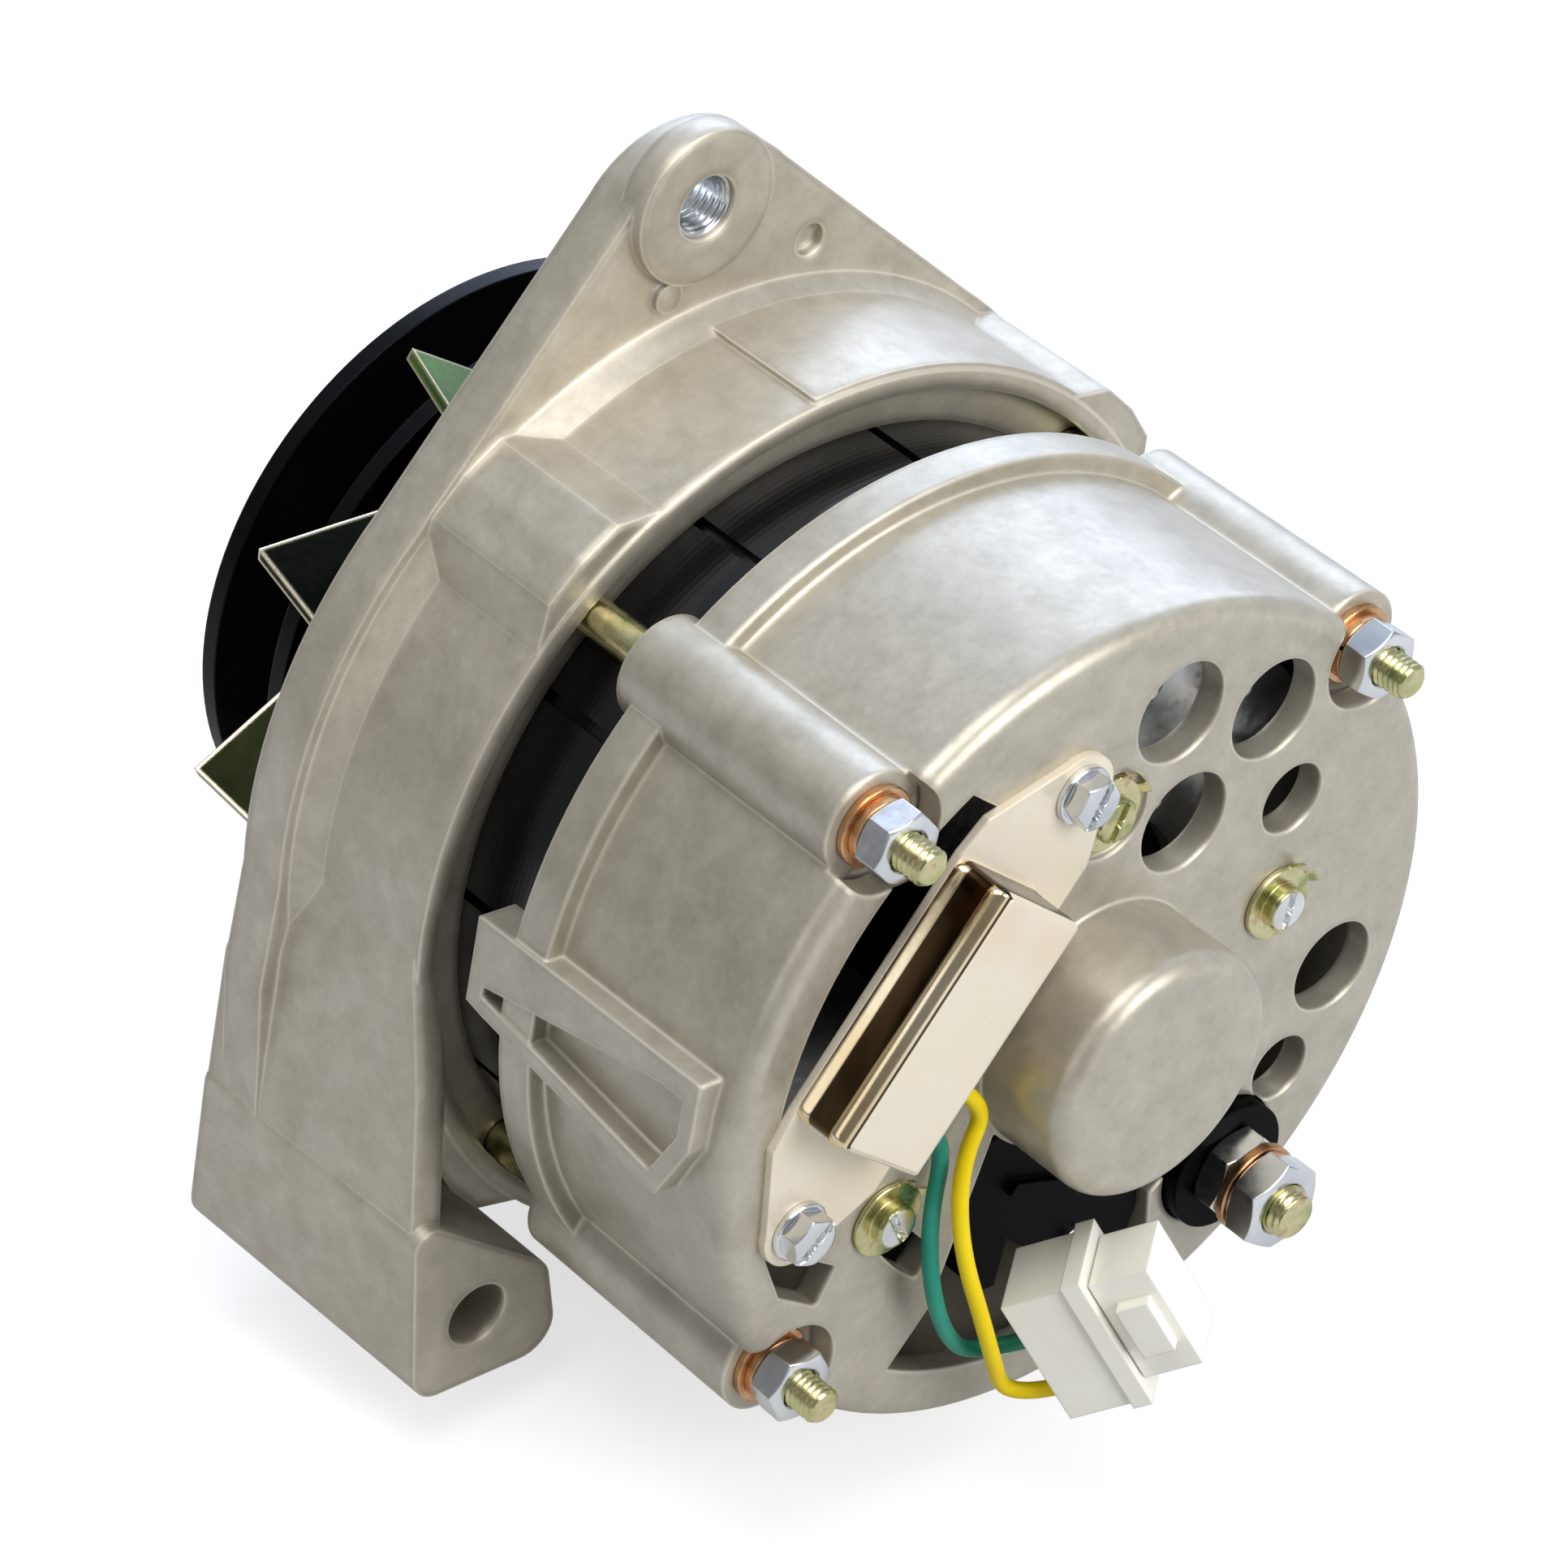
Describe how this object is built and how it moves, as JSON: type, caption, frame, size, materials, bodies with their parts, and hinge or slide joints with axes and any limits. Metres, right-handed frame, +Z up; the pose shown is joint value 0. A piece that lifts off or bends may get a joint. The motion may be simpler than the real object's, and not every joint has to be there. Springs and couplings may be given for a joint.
{
  "type": "alternator",
  "caption": "Belt-driven vehicle alternator with a foot and top lug, wide-belt pulley, bladed fan, external regulator can, output stud and a lead connector.",
  "frame": {"origin": "centre of the pivot bore in the mounting foot, midway between the foot's two end faces", "axes": "+Y along the pivot bore and the rotor axis towards the pulley, +Z up towards the slotted-arm lug, +X to the right seen from the slip ring end"},
  "size_m": [0.1635, 0.1862, 0.1802],
  "materials": {
    "drive_casting": "satin",
    "slip_casting": "satin",
    "zinc_steel": "satin",
    "yellow_zinc": "satin",
    "copper_spring": "satin",
    "black_core": "gloss",
    "copper_wire": "varnished",
    "bearing_steel": "polished",
    "cage_brass": "satin",
    "bare_steel": "satin",
    "nylon": "matt",
    "resin": "matt",
    "fan_zinc": "satin",
    "pulley_black": "gloss",
    "sink_aluminium": "satin",
    "regulator_zinc": "satin",
    "black_plastic": "matt",
    "carbon": "matt",
    "yellow_insulation": "satin",
    "green_insulation": "satin",
    "plug_white": "satin"
  },
  "bodies": {
    "housing": {"drive_end_bracket": "drive_casting", "lug_thread_insert": "zinc_steel", "slip_ring_end_bracket": "slip_casting", "stator_core": "black_core", "stator_winding": "copper_wire", "through_bolts": "yellow_zinc", "bolt_washers": "yellow_zinc", "bolt_spring_washers": "copper_spring", "bolt_nuts": "zinc_steel", "drive_bearing_outer": "bearing_steel", "bearing_retainer": "yellow_zinc", "retainer_screws": "zinc_steel", "rear_bearing_outer": "bearing_steel", "positive_heat_sink": "sink_aluminium", "negative_heat_sink": "sink_aluminium", "rectifier_diodes": "zinc_steel", "rectifier_spacers": "resin", "tabbed_screws": "yellow_zinc", "regulator_base": "regulator_zinc", "regulator_case": "regulator_zinc", "regulator_screws": "zinc_steel", "brush_holder": "black_plastic", "inner_brush_spring": "zinc_steel", "outer_brush_spring": "zinc_steel", "terminal_block": "black_plastic", "terminal_rivet": "zinc_steel", "output_stud": "yellow_zinc", "stud_inner_nut": "zinc_steel", "stud_spring_washer": "copper_spring", "stud_outer_nut": "zinc_steel", "yellow_lead": "yellow_insulation", "green_lead": "green_insulation", "lead_connector": "plug_white", "lead_connector_mate": "plug_white"},
    "rotor": {"rotor_shaft": "bare_steel", "front_claw_pole": "bare_steel", "rear_claw_pole": "bare_steel", "rotor_core": "bare_steel", "field_coil": "copper_wire", "coil_bobbin": "nylon", "slip_ring_hub": "resin", "slip_rings": "copper_spring", "rotor_spacer": "bare_steel", "fan_spacer": "bare_steel", "cooling_fan": "fan_zinc", "pulley_spacer": "pulley_black", "pulley_rear_half": "pulley_black", "pulley_front_half": "pulley_black", "pulley_washer": "zinc_steel", "pulley_nut": "zinc_steel", "shaft_key": "bare_steel", "drive_bearing_inner": "bearing_steel", "rear_bearing_inner": "bearing_steel"},
    "drive_cage": {"drive_bearing_balls": "bearing_steel", "drive_bearing_cage": "cage_brass"},
    "rear_cage": {"rear_bearing_balls": "bearing_steel", "rear_bearing_cage": "cage_brass"},
    "inner_brush_body": {"inner_brush": "carbon"},
    "outer_brush_body": {"outer_brush": "carbon"}
  },
  "joints": [
    {"name": "rotor_spin", "type": "hinge", "parent": "housing", "child": "rotor", "pos_m": [0.069, 0, 0.0545], "axis": [0, 1, 0], "continuous": true},
    {"name": "drive_cage_spin", "type": "hinge", "parent": "housing", "child": "drive_cage", "pos_m": [0.069, 0, 0.0545], "axis": [0, 1, 0], "continuous": true},
    {"name": "rear_cage_spin", "type": "hinge", "parent": "housing", "child": "rear_cage", "pos_m": [0.069, 0, 0.0545], "axis": [0, 1, 0], "continuous": true},
    {"name": "inner_brush_slide", "type": "slide", "parent": "housing", "child": "inner_brush_body", "axis": [-0.7071, 0, 0.7071], "range_m": [0, 0.004], "stiffness_N_per_m": 300, "springref_m": -0.006, "deforming": ["inner_brush_spring"]},
    {"name": "outer_brush_slide", "type": "slide", "parent": "housing", "child": "outer_brush_body", "axis": [-0.7071, 0, 0.7071], "range_m": [0, 0.004], "stiffness_N_per_m": 300, "springref_m": -0.006, "deforming": ["outer_brush_spring"]}
  ],
  "couplings": [
    {"joint": "drive_cage_spin", "follows": "rotor_spin", "ratio": 0.3877},
    {"joint": "rear_cage_spin", "follows": "rotor_spin", "ratio": 0.3727}
  ]
}
